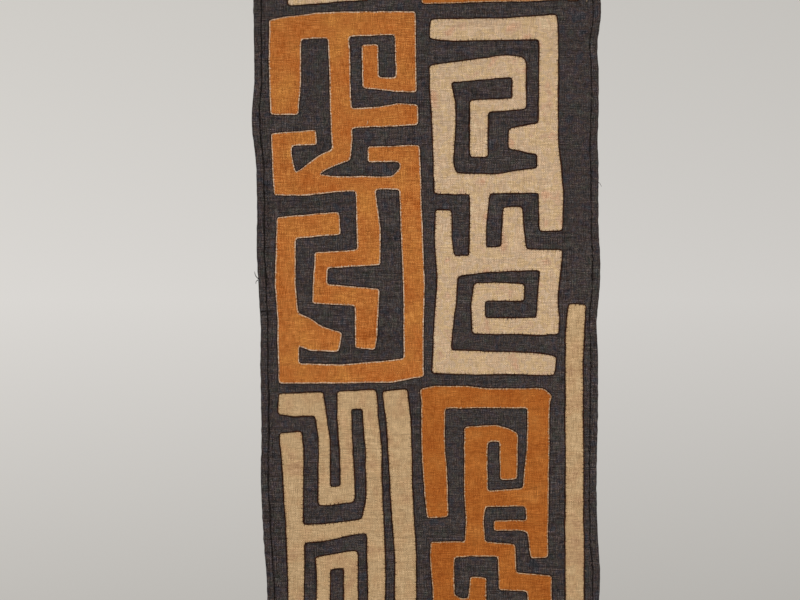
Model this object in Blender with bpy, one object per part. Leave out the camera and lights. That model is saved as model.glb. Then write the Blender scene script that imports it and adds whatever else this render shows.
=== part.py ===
"""Hanging raffia panel: a dark hemmed ground cloth with orange and cream strips sewn on."""

import math
from collections import namedtuple

import bmesh
import bpy
import numpy as np
from mathutils import Vector
from mathutils.geometry import delaunay_2d_cdt

MM = 0.001

# Driving dimensions. x runs across from the middle, z is up, and the top edge is z = 0.
CLOTH_LENGTH = 1365 * MM
LEFT_EDGE = -315.4 * MM
LEFT_LEAN = 25.3 * MM
RIGHT_EDGE = 306 * MM
GROUND_THICKNESS = 1.2 * MM
HEM_WIDTH = 15 * MM
HEM_RISE = 1.0 * MM
HEM_SLOPE = 1.5 * MM
STRIP_THICKNESS = 1.0 * MM
STRIP_GAP = 0.36 * MM

# Where a side edge bends: depth below the top edge, how far the edge is pushed there to the
# right, and how far up and down the bend reaches.
Bend = namedtuple("Bend", "depth push reach")
LEFT_BENDS = (
    Bend(310 * MM, -6.5 * MM, 90 * MM),
    Bend(540 * MM, -2.3 * MM, 80 * MM),
    Bend(680 * MM, 2.2 * MM, 72 * MM),
    Bend(958 * MM, -2.5 * MM, 100 * MM),
    Bend(1152 * MM, 5.4 * MM, 117 * MM),
)
RIGHT_BENDS = (
    Bend(108 * MM, 4.7 * MM, 63 * MM),
    Bend(180 * MM, -2.3 * MM, 50 * MM),
    Bend(342 * MM, -1.6 * MM, 54 * MM),
    Bend(572 * MM, 3.6 * MM, 90 * MM),
    Bend(675 * MM, -2.9 * MM, 60 * MM),
    Bend(963 * MM, -3.2 * MM, 160 * MM),
    Bend(1125 * MM, 2.7 * MM, 80 * MM),
)

# The folds are planar between these lines, so that sewn pieces stay parallel to the ground.
FOLD_PITCH_X = 44 * MM
FOLD_LINES_X = 6
OUTER_LINE_X = 330 * MM
FOLD_ROWS = 30

# Soft folds of the hung cloth: height, wave length and start angle of each.
Fold = namedtuple("Fold", "height length start")
UPRIGHT_FOLDS = (
    Fold(3.6 * MM, 430 * MM, 0.7),
    Fold(1.6 * MM, 210 * MM, 2.3),
)
LEVEL_FOLDS = (
    Fold(4.2 * MM, 980 * MM, 0.3),
    Fold(1.5 * MM, 390 * MM, 1.9),
    Fold(0.7 * MM, 230 * MM, 4.0),
)

# Outlines: the shortest step kept, the bend that counts as straight and the corner rounding.
SHORTEST_SIDE = 7 * MM
STRAIGHT_BEND = math.radians(2)
CORNER_CUT = 3 * MM
SAME_POINT = 1e-6

# Each sewn piece is a union of strips. A strip runs through its stations, and a station
# is its place across, its depth below the top edge and the strip's width there, in mm.
Strip = namedtuple("Strip", "name stations")

ORANGE_UPPER = (
    Strip("top band", ((-284, 146, 38), (-200, 138, 47), (-22, 131, 41))),
    Strip("left arm", ((-256, 130, 58), (-256, 235, 58), (-257, 297, 50))),
    Strip("middle post", ((-161, 135, 38), (-157, 255, 40), (-154, 342, 37), (-155, 380, 32))),
    Strip("scroll side", ((-41, 150, 37), (-39, 215, 37), (-39, 257, 37))),
    Strip("scroll foot", ((-115, 244, 24), (-21, 244, 25))),
    Strip("scroll tongue", ((-104, 172, 30), (-102, 250, 28))),
    Strip("middle arm", ((-150, 306, 35), (-86, 302, 36), (-50, 297, 41), (-18, 297, 36))),
    Strip("post foot", ((-158, 371, 29), (-187, 383, 29), (-207, 395, 29), (-232, 411, 32))),
    Strip("lower left arm", ((-281, 341, 28), (-200, 338, 27))),
    Strip("lower left side", ((-263, 330, 38), (-262, 370, 35), (-258, 440, 36))),
    Strip("waist band", ((-276, 422, 41), (-215, 423, 40), (-165, 422, 28), (-85, 420, 23), (-40, 420, 24))),
    Strip("lower right arm", ((-108, 369, 28), (-60, 367, 29), (-15, 367, 31))),
    Strip("pocket corner", ((-45, 397, 14), (-61, 412, 14))),
    Strip("right side", ((-32, 355, 36), (-31, 440, 41), (-25, 600, 39), (-26, 772, 34))),
    Strip("hook stem", ((-112, 428, 35), (-106, 505, 43), (-106, 562, 40))),
    Strip("hook top", ((-86, 552, 31), (-203, 559, 29))),
    Strip("hook back", ((-194, 552, 27), (-194, 636, 27))),
    Strip("hook middle", ((-203, 618, 36), (-88, 626, 33))),
    Strip("hook tongue", ((-109, 615, 43), (-111, 700, 40), (-113, 718, 36))),
    Strip("left side arm", ((-270, 502, 42), (-158, 492, 40))),
    Strip("left side", ((-256, 485, 37), (-256, 600, 37), (-251, 660, 38), (-250, 780, 37))),
    Strip("wedge", ((-240, 683, 60), (-222, 687, 54), (-205, 697, 50), (-190, 700, 45), (-157, 705, 34))),
    Strip("foot band", ((-268, 764, 40), (-212, 763, 38), (-160, 764, 36), (-68, 759, 40), (-9, 750, 36))),
)

CREAM_UPPER = (
    Strip("top band", ((4, 143, 34), (40, 145, 39), (130, 144, 40), (232, 140, 44))),
    Strip("right side top", ((213, 145, 27), (216, 225, 33), (216, 345, 34))),
    Strip("right side foot", ((216, 340, 34), (216, 382, 40), (219, 440, 40), (221, 506, 40))),
    Strip("right bump", ((145, 340, 35), (205, 341, 59))),
    Strip("scroll top", ((5, 222, 40), (58, 218, 40), (139, 211, 40), (169, 213, 36))),
    Strip("scroll side", ((164, 204, 24), (164, 286, 24))),
    Strip("scroll middle", ((174, 279, 22), (78, 282, 22))),
    Strip("scroll tongue", ((92, 272, 32), (92, 373, 31))),
    Strip("left side top", ((23, 205, 38), (23, 248, 38), (28, 278, 43), (29, 320, 42))),
    Strip("left side foot", ((29, 315, 42), (27, 378, 36), (28, 438, 36))),
    Strip("waist band", ((12, 420, 37), (50, 421, 38), (120, 422, 33), (157, 418, 38), (240, 412, 49))),
    Strip("stem", ((94, 430, 36), (91, 495, 28), (92, 555, 27))),
    Strip("left prong top", ((28, 468, 29), (28, 520, 30), (36, 590, 36))),
    Strip("left prong foot", ((36, 585, 36), (33, 640, 34), (27, 700, 31), (24, 762, 33))),
    Strip("shoulder left", ((30, 569, 36), (78, 567, 33), (106, 558, 44))),
    Strip("shoulder right", ((106, 558, 44), (148, 556, 43), (190, 558, 37), (241, 559, 37))),
    Strip("middle prong", ((153, 463, 33), (154, 545, 45))),
    Strip("right jamb", ((220, 565, 37), (215, 630, 35), (214, 655, 38), (215, 692, 37))),
    Strip("sill", ((235, 677, 28), (80, 676, 28))),
    Strip("scroll back", ((93, 603, 22), (90, 640, 25), (93, 682, 22))),
    Strip("scroll roof", ((84, 616, 30), (120, 615, 32), (173, 616, 30))),
    Strip("foot band", ((10, 741, 41), (130, 743, 40), (202, 745, 38), (229, 748, 33))),
)

CREAM_LOWER = (
    Strip("top left arm", ((-268, 817, 36), (-244, 819, 39), (-188, 817, 43))),
    Strip("left fall", ((-196, 800, 24), (-186, 880, 20), (-186, 998, 20))),
    Strip("cup", ((-190, 983, 32), (-135, 978, 29))),
    Strip("right rise", ((-151, 795, 24), (-150, 840, 24), (-147, 900, 21), (-144, 985, 25))),
    Strip("top bridge", ((-162, 810, 32), (-92, 807, 34))),
    Strip("right side top", ((-104, 792, 26), (-104, 837, 27), (-97, 900, 28), (-97, 972, 28))),
    Strip("right side foot", ((-97, 965, 28), (-95, 1018, 30), (-92, 1100, 31), (-92, 1290, 28))),
    Strip("pocket corner", ((-107, 985, 6), (-113, 1024, 18))),
    Strip("cross band", ((-240, 1051, 32), (-185, 1047, 30), (-140, 1039, 24), (-98, 1033, 25))),
    Strip("left side top", ((-247, 868, 39), (-244, 905, 41), (-243, 930, 39), (-240, 1020, 31))),
    Strip("left side foot", ((-240, 1010, 31), (-237, 1080, 30), (-236, 1170, 27), (-236, 1290, 27))),
    Strip("foot band", ((-248, 1274, 32), (-80, 1274, 32))),
)

CREAM_ARCH = (
    Strip("left leg", ((-188, 1092, 24), (-188, 1228, 24))),
    Strip("top", ((-200, 1103, 24), (-165, 1098, 27), (-140, 1095, 29), (-126, 1095, 29))),
    Strip("right leg", ((-138, 1086, 25), (-138, 1228, 25))),
)

CREAM_POST = (
    Strip("post top", ((-59, 793, 44), (-53, 846, 43), (-50, 900, 42), (-48, 963, 39))),
    Strip("post foot", ((-48, 958, 39), (-44, 1026, 36), (-40, 1098, 38), (-40, 1290, 38))),
)

ORANGE_LOWER = (
    Strip("top band left", ((-12, 808, 34), (10, 805, 39), (75, 805, 39), (105, 807, 36))),
    Strip("top band right", ((95, 807, 36), (208, 807, 36), (218, 813, 24))),
    Strip("left leg", ((10, 792, 42), (10, 900, 42), (13, 945, 43), (16, 990, 41), (18, 1021, 38))),
    Strip("right side", ((196, 797, 36), (200, 812, 39), (197, 900, 39), (194, 968, 46), (200, 1093, 31))),
    Strip("scroll side", ((87, 860, 42), (86, 972, 42), (84, 1028, 32), (86, 1088, 40))),
    Strip("scroll top", ((66, 872, 28), (120, 870, 29), (140, 873, 26), (158, 880, 22))),
    Strip("scroll tongue", ((146, 870, 34), (145, 953, 31))),
    Strip("cross band", ((80, 988, 28), (200, 987, 27))),
    Strip("short tongue", ((118, 1035, 18), (170, 1035, 18), (200, 1038, 26))),
    Strip("waist band", ((4, 1078, 28), (110, 1077, 26), (158, 1080, 24))),
    Strip("left jamb", ((27, 1066, 42), (28, 1150, 38), (28, 1290, 38))),
    Strip("right step", ((141, 1066, 32), (143, 1150, 32))),
    Strip("step band", ((132, 1133, 34), (180, 1137, 32), (222, 1141, 33))),
    Strip("right jamb", ((202, 1127, 40), (202, 1290, 40))),
    Strip("inner tongue", ((91, 1127, 29), (87, 1195, 35))),
    Strip("inner band", ((28, 1182, 32), (104, 1182, 32))),
    Strip("inner corner", ((38, 1162, 14), (64, 1177, 14))),
    Strip("foot band", ((10, 1273, 34), (221, 1273, 34))),
)

CREAM_RAIL = (
    Strip("rail top", ((268, 638, 30), (264, 690, 32), (262, 740, 32), (262, 801, 32), (260, 880, 33))),
    Strip("rail middle", ((260, 870, 33), (260, 936, 31), (262, 1030, 30), (263, 1098, 30))),
    Strip("rail foot", ((263, 1090, 30), (263, 1170, 33), (263, 1290, 33))),
)

CREAM_HEAD = (Strip("head strip", ((-252, 77, 48), (-106, 72, 38))),)
ORANGE_HEAD = (Strip("head strip", ((-12, 76, 44), (120, 74, 42), (238, 72, 38))),)
CREAM_TAB = (Strip("tab", ((261, 48, 22), (261, 92, 22))),)

# Cloth colours as linear red, green, blue.
DARK = (0.040, 0.036, 0.036)
ORANGE = (0.380, 0.118, 0.028)
CREAM = (0.545, 0.376, 0.220)
RAFFIA_ROUGHNESS = 0.9

SEWN_PIECES = (
    ("orange_upper", ORANGE_UPPER, ORANGE),
    ("cream_upper", CREAM_UPPER, CREAM),
    ("cream_lower", CREAM_LOWER, CREAM),
    ("cream_arch", CREAM_ARCH, CREAM),
    ("cream_post", CREAM_POST, CREAM),
    ("orange_lower", ORANGE_LOWER, ORANGE),
    ("cream_rail", CREAM_RAIL, CREAM),
    ("cream_head", CREAM_HEAD, CREAM),
    ("orange_head", ORANGE_HEAD, ORANGE),
    ("cream_tab", CREAM_TAB, CREAM),
)


def clear_objects():
    """Empty the file before anything is built."""
    for item in list(bpy.data.objects):
        bpy.data.objects.remove(item, do_unlink=True)


def wave_sum(folds, place):
    """Height of a set of folds at one place along them."""
    return sum(f.height * math.sin(math.tau * place / f.length + f.start) for f in folds)


INNER_X = [FOLD_PITCH_X * k for k in range(-FOLD_LINES_X, FOLD_LINES_X + 1)]
LINES_X = [-OUTER_LINE_X, *INNER_X, OUTER_LINE_X]
LINES_Z = [-CLOTH_LENGTH * (1 - k / FOLD_ROWS) for k in range(FOLD_ROWS + 1)]
HEIGHTS_X = [wave_sum(UPRIGHT_FOLDS, x) for x in LINES_X]
HEIGHTS_Z = [wave_sum(LEVEL_FOLDS, z) for z in LINES_Z]
TOP_HEIGHT = wave_sum(UPRIGHT_FOLDS, 0) + wave_sum(LEVEL_FOLDS, 0)


def fold_height(x, z):
    """How far the hung cloth swings from the upright plane through its top edge's middle."""
    across = np.interp(x, LINES_X, HEIGHTS_X)
    down = np.interp(z, LINES_Z, HEIGHTS_Z)
    return float(across + down) - TOP_HEIGHT


def edge_push(bends, z):
    """How far the bends of a side edge push it to the right at one height."""
    push = 0
    for bend in bends:
        share = min(abs(-z - bend.depth) / bend.reach, 1)
        push += bend.push * (1 + math.cos(math.pi * share)) / 2
    return push


def left_edge(z):
    """Place of the left edge, which leans inwards on its way down."""
    return LEFT_EDGE - LEFT_LEAN * z / CLOTH_LENGTH + edge_push(LEFT_BENDS, z)


def right_edge(z):
    """Place of the right edge."""
    return RIGHT_EDGE + edge_push(RIGHT_BENDS, z)


def drape(mesh):
    """Swing a flat piece onto the folds."""
    for vertex in mesh.verts:
        vertex.co.y += fold_height(vertex.co.x, vertex.co.z)


def make_material(name, colour):
    """Plain cloth colour for one piece."""
    material = bpy.data.materials.new(name)
    material.use_nodes = True
    shader = material.node_tree.nodes["Principled BSDF"]
    shader.inputs["Base Color"].default_value = (*colour, 1)
    shader.inputs["Roughness"].default_value = RAFFIA_ROUGHNESS
    shader.inputs["Metallic"].default_value = 0
    return material


def finish_piece(mesh, name, colour):
    """Turn a closed mesh into a named object with its own material."""
    bmesh.ops.recalc_face_normals(mesh, faces=mesh.faces)
    data = bpy.data.meshes.new(name)
    mesh.to_mesh(data)
    mesh.free()
    data.materials.append(make_material(name + "_cloth", colour))
    bpy.context.scene.collection.objects.link(bpy.data.objects.new(name, data))


def thicken(mesh, back, thickness):
    """Close a flat sheet into a slab from its back plane forwards, and return the front points."""
    for vertex in mesh.verts:
        vertex.co.y = back
    extruded = bmesh.ops.extrude_face_region(mesh, geom=mesh.faces[:])["geom"]
    front = [item for item in extruded if isinstance(item, bmesh.types.BMVert)]
    bmesh.ops.translate(mesh, verts=front, vec=(0, -thickness, 0))
    return front


def ground_columns(z):
    """Places across the ground cloth at one height, with its two side hems."""
    left = left_edge(z)
    right = right_edge(z)
    left_hem = [left, left + HEM_WIDTH, left + HEM_WIDTH + HEM_SLOPE]
    right_hem = [right - HEM_WIDTH - HEM_SLOPE, right - HEM_WIDTH, right]
    return [*left_hem, *INNER_X, *right_hem]


def ground_rows():
    """Heights of the ground cloth's rows, bottom first, with its two end hems."""
    foot_hem = [-CLOTH_LENGTH + HEM_WIDTH, -CLOTH_LENGTH + HEM_WIDTH + HEM_SLOPE]
    head_hem = [-HEM_WIDTH - HEM_SLOPE, -HEM_WIDTH]
    return [LINES_Z[0], *foot_hem, *LINES_Z[1:-1], *head_hem, LINES_Z[-1]]


def build_ground():
    """The dark cloth: one hung sheet whose four edges are folded forwards and hemmed."""
    rows = ground_rows()
    across = len(ground_columns(0)) - 1
    up = len(rows) - 1
    mesh = bmesh.new()
    bmesh.ops.create_grid(mesh, x_segments=across, y_segments=up, size=0.5)
    hem_points = set()
    for vertex in mesh.verts:
        column = round((vertex.co.x + 0.5) * across)
        row = round((vertex.co.y + 0.5) * up)
        vertex.co = (ground_columns(rows[row])[column], 0, rows[row])
        if min(column, across - column, row, up - row) < 2:
            hem_points.add((round(vertex.co.x, 6), round(vertex.co.z, 6)))
    front = thicken(mesh, GROUND_THICKNESS / 2, GROUND_THICKNESS)
    for vertex in front:
        if (round(vertex.co.x, 6), round(vertex.co.z, 6)) in hem_points:
            vertex.co.y -= HEM_RISE
    drape(mesh)
    finish_piece(mesh, "ground_cloth", DARK)


def strip_corners(stations):
    """Corner points of one strip, counter-clockwise."""
    points = [Vector((x * MM, -depth * MM)) for x, depth, _ in stations]
    sides = ([], [])
    for index, point in enumerate(points):
        before = points[max(index - 1, 0)]
        after = points[min(index + 1, len(points) - 1)]
        along = (after - before).normalized()
        outward = Vector((-along.y, along.x)) * stations[index][2] * MM / 2
        sides[0].append(point - outward)
        sides[1].append(point + outward)
    return sides[0] + sides[1][::-1]


def joined_strips(strips):
    """One flat mesh that covers all the strips, in the plane of the cloth."""
    points = []
    outlines = []
    for strip in strips:
        corners = strip_corners(strip.stations)
        outlines.append(list(range(len(points), len(points) + len(corners))))
        points.extend(corners)
    net = delaunay_2d_cdt(points, [], outlines, 0, SAME_POINT, True)
    places, faces, sources = net[0], net[2], net[5]
    mesh = bmesh.new()
    verts = [mesh.verts.new((place.x, 0, place.y)) for place in places]
    for face, source in zip(faces, sources):
        if source:
            mesh.faces.new([verts[index] for index in face])
    loose = [vertex for vertex in mesh.verts if not vertex.link_faces]
    bmesh.ops.delete(mesh, geom=loose, context="VERTS")
    return mesh


def tidy_outline(mesh):
    """Drop inner lines and tiny steps, then round the corners like hand-cut cloth."""
    for _ in range(2):
        bmesh.ops.dissolve_limit(
            mesh, angle_limit=STRAIGHT_BEND, verts=mesh.verts[:], edges=mesh.edges[:]
        )
        bmesh.ops.remove_doubles(mesh, verts=mesh.verts[:], dist=SHORTEST_SIDE)
    corners = [
        vertex
        for vertex in mesh.verts
        if len(vertex.link_edges) == 2
        and min(edge.calc_length() for edge in vertex.link_edges) > 2.5 * CORNER_CUT
    ]
    bmesh.ops.bevel(
        mesh, geom=corners, offset=CORNER_CUT, affect="VERTICES", segments=2, profile=0.5
    )


def cut_along(mesh, axis, places):
    """Cut a piece on every fold line that crosses it."""
    normal = Vector((0, 0, 0))
    normal[axis] = 1
    for place in places:
        reach = [vertex.co[axis] for vertex in mesh.verts]
        if min(reach) < place < max(reach):
            geom = mesh.verts[:] + mesh.edges[:] + mesh.faces[:]
            bmesh.ops.bisect_plane(
                mesh, geom=geom, dist=SAME_POINT, plane_co=normal * place, plane_no=normal
            )


def build_sewn_piece(name, strips, colour):
    """One cut-out piece that lies just in front of the ground cloth and follows its folds."""
    mesh = joined_strips(strips)
    tidy_outline(mesh)
    cut_along(mesh, 0, INNER_X)
    cut_along(mesh, 2, LINES_Z[1:-1])
    thicken(mesh, -GROUND_THICKNESS / 2 - STRIP_GAP, STRIP_THICKNESS)
    drape(mesh)
    finish_piece(mesh, name, colour)


clear_objects()
build_ground()
for piece_name, piece_strips, piece_colour in SEWN_PIECES:
    build_sewn_piece(piece_name, piece_strips, piece_colour)
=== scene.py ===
"""Hung raffia cloth: dark hemmed ground, sewn-on orange and cream pieces, edge threads and stitches."""

import logging
import math
from collections.abc import Callable, Iterable, Sequence
from dataclasses import dataclass, field
from enum import Enum
from functools import cache

import bmesh
import bpy
import numpy as np
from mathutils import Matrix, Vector, kdtree, noise


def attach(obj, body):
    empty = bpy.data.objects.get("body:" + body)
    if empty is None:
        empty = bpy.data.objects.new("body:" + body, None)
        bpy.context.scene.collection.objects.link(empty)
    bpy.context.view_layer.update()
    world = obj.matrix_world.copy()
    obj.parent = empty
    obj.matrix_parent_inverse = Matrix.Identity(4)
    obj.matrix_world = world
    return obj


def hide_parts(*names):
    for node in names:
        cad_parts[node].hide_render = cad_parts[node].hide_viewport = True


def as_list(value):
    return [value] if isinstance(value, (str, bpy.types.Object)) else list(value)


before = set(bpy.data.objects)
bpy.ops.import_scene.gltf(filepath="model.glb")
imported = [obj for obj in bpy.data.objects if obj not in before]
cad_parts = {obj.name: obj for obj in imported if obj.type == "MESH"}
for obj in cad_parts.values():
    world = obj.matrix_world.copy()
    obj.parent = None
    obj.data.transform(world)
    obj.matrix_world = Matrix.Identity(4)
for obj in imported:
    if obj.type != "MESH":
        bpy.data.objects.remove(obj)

LOG = logging.getLogger("raffia_cloth")
MM = 0.001
BODY = "root"
GROUND_NODE = "ground_cloth"
SAME_POINT = 0.02 * MM
# Soft noise lies mostly between these greys.
MID_GREYS = (0.3, 0.7)
# Dry leaf fibre has hardly any gloss.
FIBRE_GLOSS = 0.12
# A closed line keeps at least this many points.
FEWEST_POINTS = 8
# Where a mix node's first input and its output are, for numbers and for colours.
MIX_PLACES = {"FLOAT": (2, 0), "RGBA": (6, 2)}

Floats = np.ndarray
Loop = np.ndarray
Pair = tuple[float, float]
Colour = tuple[float, float, float, float]
Stops = tuple[tuple[float, str], ...]
Tree = bpy.types.NodeTree
Socket = bpy.types.NodeSocket
WorkMesh = bmesh.types.BMesh


class Cloth(Enum):
    """The three raffia cloths, by the record's material slots."""

    DARK = "dark_raffia"
    ORANGE = "orange_raffia"
    CREAM = "cream_raffia"


class Side(Enum):
    """A side edge of the cloth, and the direction that points off it."""

    LEFT = -1
    RIGHT = 1


def linear(hex_colour: str) -> Colour:
    """Turn an sRGB hex colour into a linear one.

    Args:
        hex_colour: six hex digits after a hash.

    Returns:
        Linear red, green, blue and an alpha of one.
    """
    parts = [int(hex_colour[i : i + 2], 16) / 255 for i in (1, 3, 5)]
    red, green, blue = (c / 12.92 if c <= 0.04045 else ((c + 0.055) / 1.055) ** 2.4 for c in parts)
    return red, green, blue, 1.0


def add_node(
    tree: Tree, kind: str, settings: dict | None = None, links: dict | None = None
) -> bpy.types.Node:
    """Add one shader node with its settings and its incoming links.

    Args:
        tree: the node tree to add to.
        kind: the node's type name.
        settings: property names, or input names or numbers, with their values.
        links: input names or numbers, with the output sockets that feed them.

    Returns:
        The new node.
    """
    node = tree.nodes.new(kind)
    for key, value in (settings or {}).items():
        if isinstance(key, int) or key in node.inputs:
            node.inputs[key].default_value = value
        else:
            setattr(node, key, value)
    for key, output in (links or {}).items():
        tree.links.new(output, node.inputs[key])
    return node


def ramp_node(tree: Tree, source: Socket, stops: Stops) -> Socket:
    """Colour a grey pattern by a ramp of hex colours.

    Args:
        tree: the node tree.
        source: the grey pattern.
        stops: places from 0 to 1, each with its colour.

    Returns:
        The coloured output.
    """
    node = add_node(tree, "ShaderNodeValToRGB", links={"Fac": source})
    elements = node.color_ramp.elements
    while len(elements) < len(stops):
        elements.new(0.5)
    for element, (place, colour) in zip(elements, stops):
        element.position = place
        element.color = linear(colour)
    return node.outputs["Color"]


def range_node(
    tree: Tree, value: Socket, taken: Pair = (0.0, 1.0), given: Pair = (0.0, 1.0)
) -> Socket:
    """Turn one range of a grey pattern into another.

    Args:
        tree: the node tree.
        value: the pattern.
        taken: the two levels that it is read between.
        given: the two levels that they turn into.

    Returns:
        The new pattern.
    """
    levels = {"From Min": taken[0], "From Max": taken[1], "To Min": given[0], "To Max": given[1]}
    return add_node(tree, "ShaderNodeMapRange", levels, {"Value": value}).outputs["Result"]


def math_node(tree: Tree, operation: str, *terms: Socket | float) -> Socket:
    """Reckon with grey patterns and numbers.

    Args:
        tree: the node tree.
        operation: what is done with the terms.
        terms: the patterns and numbers, in order.

    Returns:
        The result.
    """
    links = {i: term for i, term in enumerate(terms) if isinstance(term, Socket)}
    numbers = {i: term for i, term in enumerate(terms) if i not in links}
    node = add_node(tree, "ShaderNodeMath", {"operation": operation, **numbers}, links)
    return node.outputs["Value"]


def mix_node(
    tree: Tree, kind: str, share: Socket | float, first: Socket, second: Socket, blend: str = "MIX"
) -> Socket:
    """Mix two patterns.

    Args:
        tree: the node tree.
        kind: FLOAT for grey patterns, RGBA for colours.
        share: the second pattern's share.
        first: the first pattern.
        second: the second pattern.
        blend: how colours are mixed.

    Returns:
        The mixed pattern.
    """
    start, result = MIX_PLACES[kind]
    settings = {"data_type": kind, "blend_type": blend}
    links = {start: first, start + 1: second}
    target = links if isinstance(share, Socket) else settings
    target[0] = share
    return add_node(tree, "ShaderNodeMix", settings, links).outputs[result]


def around_one(tree: Tree, pattern: Socket, contrast: float) -> Socket:
    """Turn a grey pattern into a factor that goes from one by up to a contrast."""
    return range_node(tree, pattern, MID_GREYS, (1 - contrast, 1 + contrast))


def new_material(name: str) -> tuple[bpy.types.Material, Tree]:
    """Start a material that is made of nodes.

    Args:
        name: the material's name.

    Returns:
        The material and its node tree.
    """
    material = bpy.data.materials.new(name)
    material.use_nodes = True
    return material, material.node_tree


def wire_fibre(
    tree: Tree, colour: Socket, rough: Socket, height: Socket, strength: float, depth: float
) -> None:
    """Feed a dry fibre's colour, roughness and bump to its shader.

    Args:
        tree: the material's node tree.
        colour: the surface's colour.
        rough: its roughness.
        height: the pattern that stands out.
        strength: how strongly it stands out.
        depth: how far it stands out.
    """
    shader = tree.nodes["Principled BSDF"]
    shader.inputs["Specular IOR Level"].default_value = FIBRE_GLOSS
    settings = {"Strength": strength, "Distance": depth}
    bump = add_node(tree, "ShaderNodeBump", settings, {"Height": height})
    tree.links.new(colour, shader.inputs["Base Color"])
    tree.links.new(rough, shader.inputs["Roughness"])
    tree.links.new(bump.outputs["Normal"], shader.inputs["Normal"])


@dataclass(frozen=True)
class Fold:
    """One soft wave of the hung cloth."""

    height: float
    length: float
    start: float

    def lift(self, place: Floats) -> Floats:
        """Height of the wave at places along it."""
        return self.height * np.sin(math.tau * place / self.length + self.start)


@dataclass(frozen=True)
class Bend:
    """One bend of a side edge: its depth, its push to the right and its reach up and down."""

    depth: float
    push: float
    reach: float

    def shift(self, z: Floats) -> Floats:
        """Push to the right at given heights."""
        share = np.minimum(np.abs(-z - self.depth) / self.reach, 1)
        return self.push * (1 + np.cos(math.pi * share)) / 2


@dataclass(frozen=True)
class Hang:
    """How the cloth hangs: its outline, its main folds and its small cockles."""

    length: float = 1365 * MM
    left: float = -315.4 * MM
    left_lean: float = 25.3 * MM
    right: float = 306 * MM
    left_bends: tuple[Bend, ...] = (
        Bend(310 * MM, -6.5 * MM, 90 * MM),
        Bend(540 * MM, -2.3 * MM, 80 * MM),
        Bend(680 * MM, 2.2 * MM, 72 * MM),
        Bend(958 * MM, -2.5 * MM, 100 * MM),
        Bend(1152 * MM, 5.4 * MM, 117 * MM),
    )
    right_bends: tuple[Bend, ...] = (
        Bend(108 * MM, 4.7 * MM, 63 * MM),
        Bend(180 * MM, -2.3 * MM, 50 * MM),
        Bend(342 * MM, -1.6 * MM, 54 * MM),
        Bend(572 * MM, 3.6 * MM, 90 * MM),
        Bend(675 * MM, -2.9 * MM, 60 * MM),
        Bend(963 * MM, -3.2 * MM, 160 * MM),
        Bend(1125 * MM, 2.7 * MM, 80 * MM),
    )
    upright: tuple[Fold, ...] = (Fold(3.6 * MM, 430 * MM, 0.7), Fold(1.6 * MM, 210 * MM, 2.3))
    level: tuple[Fold, ...] = (
        Fold(4.2 * MM, 980 * MM, 0.3),
        Fold(1.5 * MM, 390 * MM, 1.9),
        Fold(0.7 * MM, 230 * MM, 4.0),
    )
    cockle_count: int = 26
    cockle_height: float = 0.13 * MM
    cockle_lengths: Pair = (20 * MM, 75 * MM)
    half_thickness: float = 0.6 * MM
    seed: int = 11

    def folds(self, x: Floats, z: Floats) -> Floats:
        """Main folds, measured from the upright plane through the top edge's middle."""
        across = sum(f.lift(x) - f.lift(0.0) for f in self.upright)
        return across + sum(f.lift(z) - f.lift(0.0) for f in self.level)

    def cockles(self, x: Floats, z: Floats) -> Floats:
        """Small uneven swells that loosely woven raffia keeps after it is softened.

        Args:
            x: places across.
            z: heights.

        Returns:
            How far back each place is pushed.
        """
        draw = np.random.default_rng(self.seed)
        total = np.zeros_like(x)
        for _ in range(self.cockle_count):
            turn = draw.uniform(0, math.pi)
            size = draw.uniform(*self.cockle_lengths)
            start = draw.uniform(0, math.tau)
            along = (x * math.cos(turn) + z * math.sin(turn)) * math.tau / size
            total = total + self.cockle_height * np.sin(along + start)
        return total

    def middle(self, x: Floats, z: Floats) -> Floats:
        """Place of the cloth's middle surface, front to back."""
        return self.folds(x, z) + self.cockles(x, z)

    def front(self, x: Floats, z: Floats) -> Floats:
        """Place of the ground cloth's front surface."""
        return self.middle(x, z) - self.half_thickness

    def before(self, x: Floats, z: Floats, out: float) -> Floats:
        """Rows of points a little in front of the ground cloth's front surface."""
        return np.column_stack([x, self.front(x, z) - out, z])

    def edge(self, side: Side, z: Floats) -> Floats:
        """Place of a side edge at given heights.

        Args:
            side: which edge.
            z: heights.

        Returns:
            The edge's places across.
        """
        if side is Side.LEFT:
            straight = self.left - self.left_lean * z / self.length
            return straight + sum(bend.shift(z) for bend in self.left_bends)
        return self.right + sum(bend.shift(z) for bend in self.right_bends)


HANG = Hang()


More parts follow.
